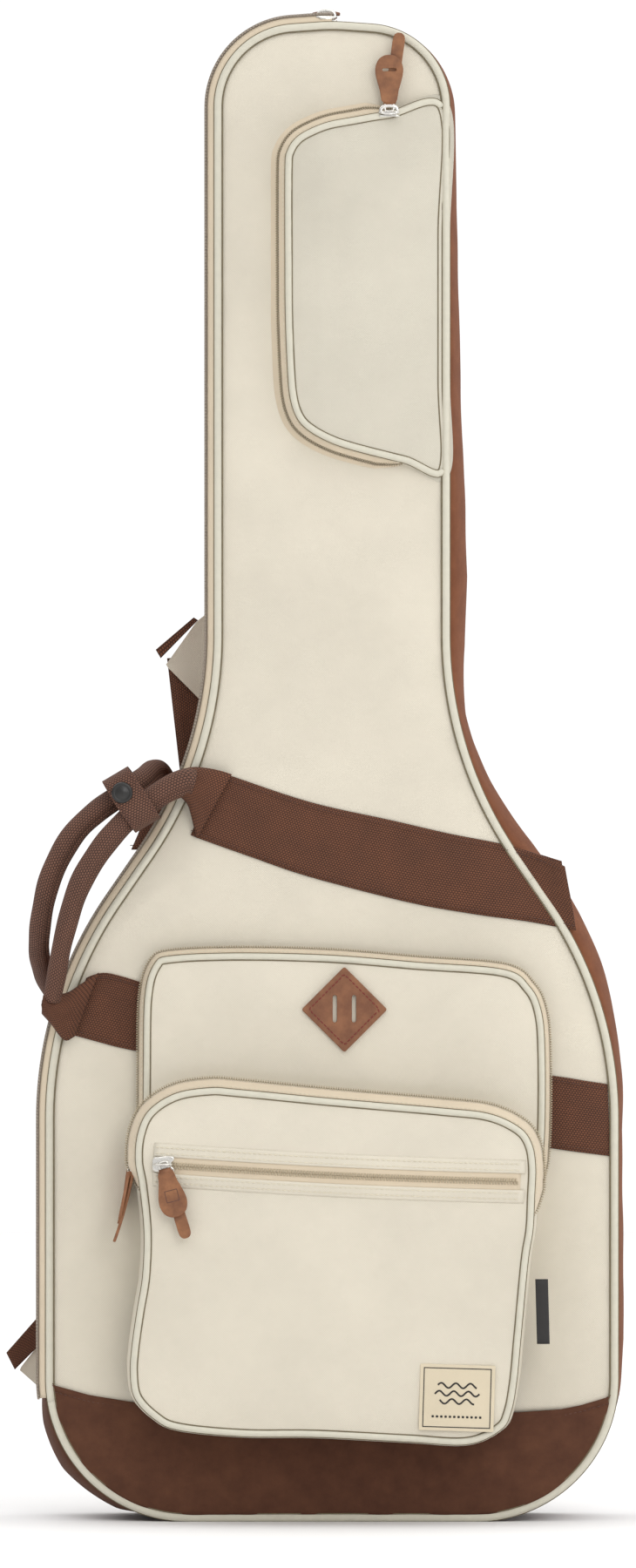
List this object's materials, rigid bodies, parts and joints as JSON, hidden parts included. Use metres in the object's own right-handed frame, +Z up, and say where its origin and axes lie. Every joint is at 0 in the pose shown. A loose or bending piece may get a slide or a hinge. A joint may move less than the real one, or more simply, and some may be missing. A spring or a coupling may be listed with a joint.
{
  "type": "padded gig bag",
  "caption": "Padded electric guitar gig bag in cream canvas and brown suede, with zippered front, pockets, carry handles and shoulder straps.",
  "frame": {"origin": "middle of the flat suede base, on the surface the bag stands on", "axes": "+Z up along the bag, front panel towards -Y, +X to the right seen from the front"},
  "size_m": [0.4305, 0.1736, 1.0591],
  "materials": {
    "canvas": "woven cream polyester canvas",
    "piping": "cream canvas bias piping",
    "suede": "dark brown brushed faux suede",
    "lining": "soft brown plush",
    "zipper": "cream tape with a nylon coil",
    "webbing": "brown basket-weave webbing",
    "pull_leather": "tan leather with raw edges",
    "nickel": "polished nickel plate",
    "black_plastic": "black moulded acetal",
    "black_metal": "black enamelled snap cap",
    "label_cloth": "cream woven label with a plain frame and motif",
    "tag_cloth": "black woven tag",
    "rubber": "matte black rubber"
  },
  "bodies": {
    "shell": {"back_lining": "lining", "back_panel": "canvas", "back_piping": "piping", "back_webbing_lower": "webbing", "back_webbing_upper": "webbing", "base_bumper": "rubber", "boot_back": "suede", "boot_front": "suede", "front_panel_fold": "canvas", "front_piping_sewn": "piping", "front_webbing_lower_end": "webbing", "gusset_base": "suede", "gusset_left": "suede", "gusset_right": "suede", "main_zipper_rear": "zipper", "neck_rest": "lining", "neck_strap": "lining", "shoulder_pad_left": "canvas", "shoulder_pad_right": "canvas", "strap_webbing_lower": "webbing", "strap_webbing_upper": "webbing", "strap_wings_lower": "canvas", "strap_wings_upper": "canvas"},
    "lid": {"front_panel": "canvas", "front_lining": "lining", "front_piping": "piping", "main_zipper_front": "zipper", "front_webbing_upper": "webbing", "front_webbing_lower": "webbing", "rear_pocket": "canvas", "rear_pocket_piping": "piping", "rear_pocket_zipper": "zipper", "front_pocket": "canvas", "front_pocket_piping": "piping", "front_pocket_zipper": "zipper", "neck_pocket": "canvas", "neck_pocket_piping": "piping", "neck_pocket_zipper": "zipper", "slash_zipper": "zipper", "lash_tab": "pull_leather", "woven_label": "label_cloth", "side_tag": "tag_cloth"},
    "front_handle": {"front_handle": "webbing", "handle_wrap": "webbing", "snap_cap": "black_metal"},
    "rear_handle": {"rear_handle": "webbing"},
    "main_slider": {"main_slider": "nickel"},
    "main_pull": {"main_pull": "pull_leather"},
    "neck_slider": {"neck_slider": "nickel"},
    "neck_pull": {"neck_pull": "pull_leather"},
    "rear_pocket_slider": {"rear_pocket_slider": "nickel"},
    "rear_pocket_pull": {"rear_pocket_pull": "pull_leather"},
    "front_pocket_slider": {"front_pocket_slider": "nickel"},
    "front_pocket_pull": {"front_pocket_pull": "pull_leather"},
    "slash_slider": {"slash_slider": "nickel"},
    "slash_pull": {"slash_pull": "pull_leather"},
    "ladder_lock_left": {"ladder_lock_left": "black_plastic"},
    "ladder_lock_right": {"ladder_lock_right": "black_plastic"}
  },
  "joints": [
    {"name": "lid_open", "type": "hinge", "parent": "shell", "child": "lid", "pos_m": [0.184, -0.049, 0], "axis": [-0.0961, 0, 0.9954], "range_deg": [0, 90], "deforming": ["handle_wrap"]},
    {"name": "front_handle_swing", "type": "hinge", "parent": "lid", "child": "front_handle", "pos_m": [-0.112, -0.0563, 0.515], "axis": [0.4784, 0, 0.8781], "range_deg": [0, 70]},
    {"name": "rear_handle_swing", "type": "hinge", "parent": "shell", "child": "rear_handle", "pos_m": [-0.128, 0.0563, 0.508], "axis": [0.5005, 0, 0.8657], "range_deg": [-70, 0]},
    {"name": "main_slider_run", "type": "slide", "parent": "shell", "child": "main_slider", "axis": [-1, 0, 0], "range_m": [0, 0.02]},
    {"name": "main_pull_flop", "type": "hinge", "parent": "main_slider", "child": "main_pull", "pos_m": [-0.004, -0.036, 1.0571], "axis": [1, 0, 0], "range_deg": [0, 150]},
    {"name": "neck_slider_run", "type": "slide", "parent": "lid", "child": "neck_slider", "axis": [-0.9372, 0, -0.3487], "range_m": [0, 0.045]},
    {"name": "neck_pull_flop", "type": "hinge", "parent": "neck_slider", "child": "neck_pull", "pos_m": [0.04, -0.055, 0.9891], "axis": [1, 0, 0], "range_deg": [0, 90]},
    {"name": "rear_pocket_slider_run", "type": "slide", "parent": "lid", "child": "rear_pocket_slider", "axis": [0, 0, 1], "range_m": [0, 0.06]},
    {"name": "rear_pocket_pull_flop", "type": "hinge", "parent": "rear_pocket_slider", "child": "rear_pocket_pull", "pos_m": [-0.1397, -0.056, 0.262], "axis": [0, 1, 0], "range_deg": [0, 90]},
    {"name": "front_pocket_slider_run", "type": "slide", "parent": "lid", "child": "front_pocket_slider", "axis": [0, 0, 1], "range_m": [0, 0.012]},
    {"name": "front_pocket_pull_flop", "type": "hinge", "parent": "front_pocket_slider", "child": "front_pocket_pull", "pos_m": [-0.1396, -0.085, 0.25], "axis": [0, 1, 0], "range_deg": [0, 110]},
    {"name": "slash_slider_run", "type": "slide", "parent": "lid", "child": "slash_slider", "axis": [0.9989, 0, -0.0471], "range_m": [0, 0.235]},
    {"name": "slash_pull_flop", "type": "hinge", "parent": "slash_slider", "child": "slash_pull", "pos_m": [-0.117, -0.1093, 0.2526], "axis": [-1, 0, 0], "range_deg": [0, 150]},
    {"name": "ladder_lock_left_tilt", "type": "hinge", "parent": "shell", "child": "ladder_lock_left", "pos_m": [-0.079, 0.0553, 0.219], "axis": [1, 0, 0], "range_deg": [0, 17]},
    {"name": "ladder_lock_right_tilt", "type": "hinge", "parent": "shell", "child": "ladder_lock_right", "pos_m": [0.045, 0.0553, 0.219], "axis": [1, 0, 0], "range_deg": [0, 17]}
  ]
}
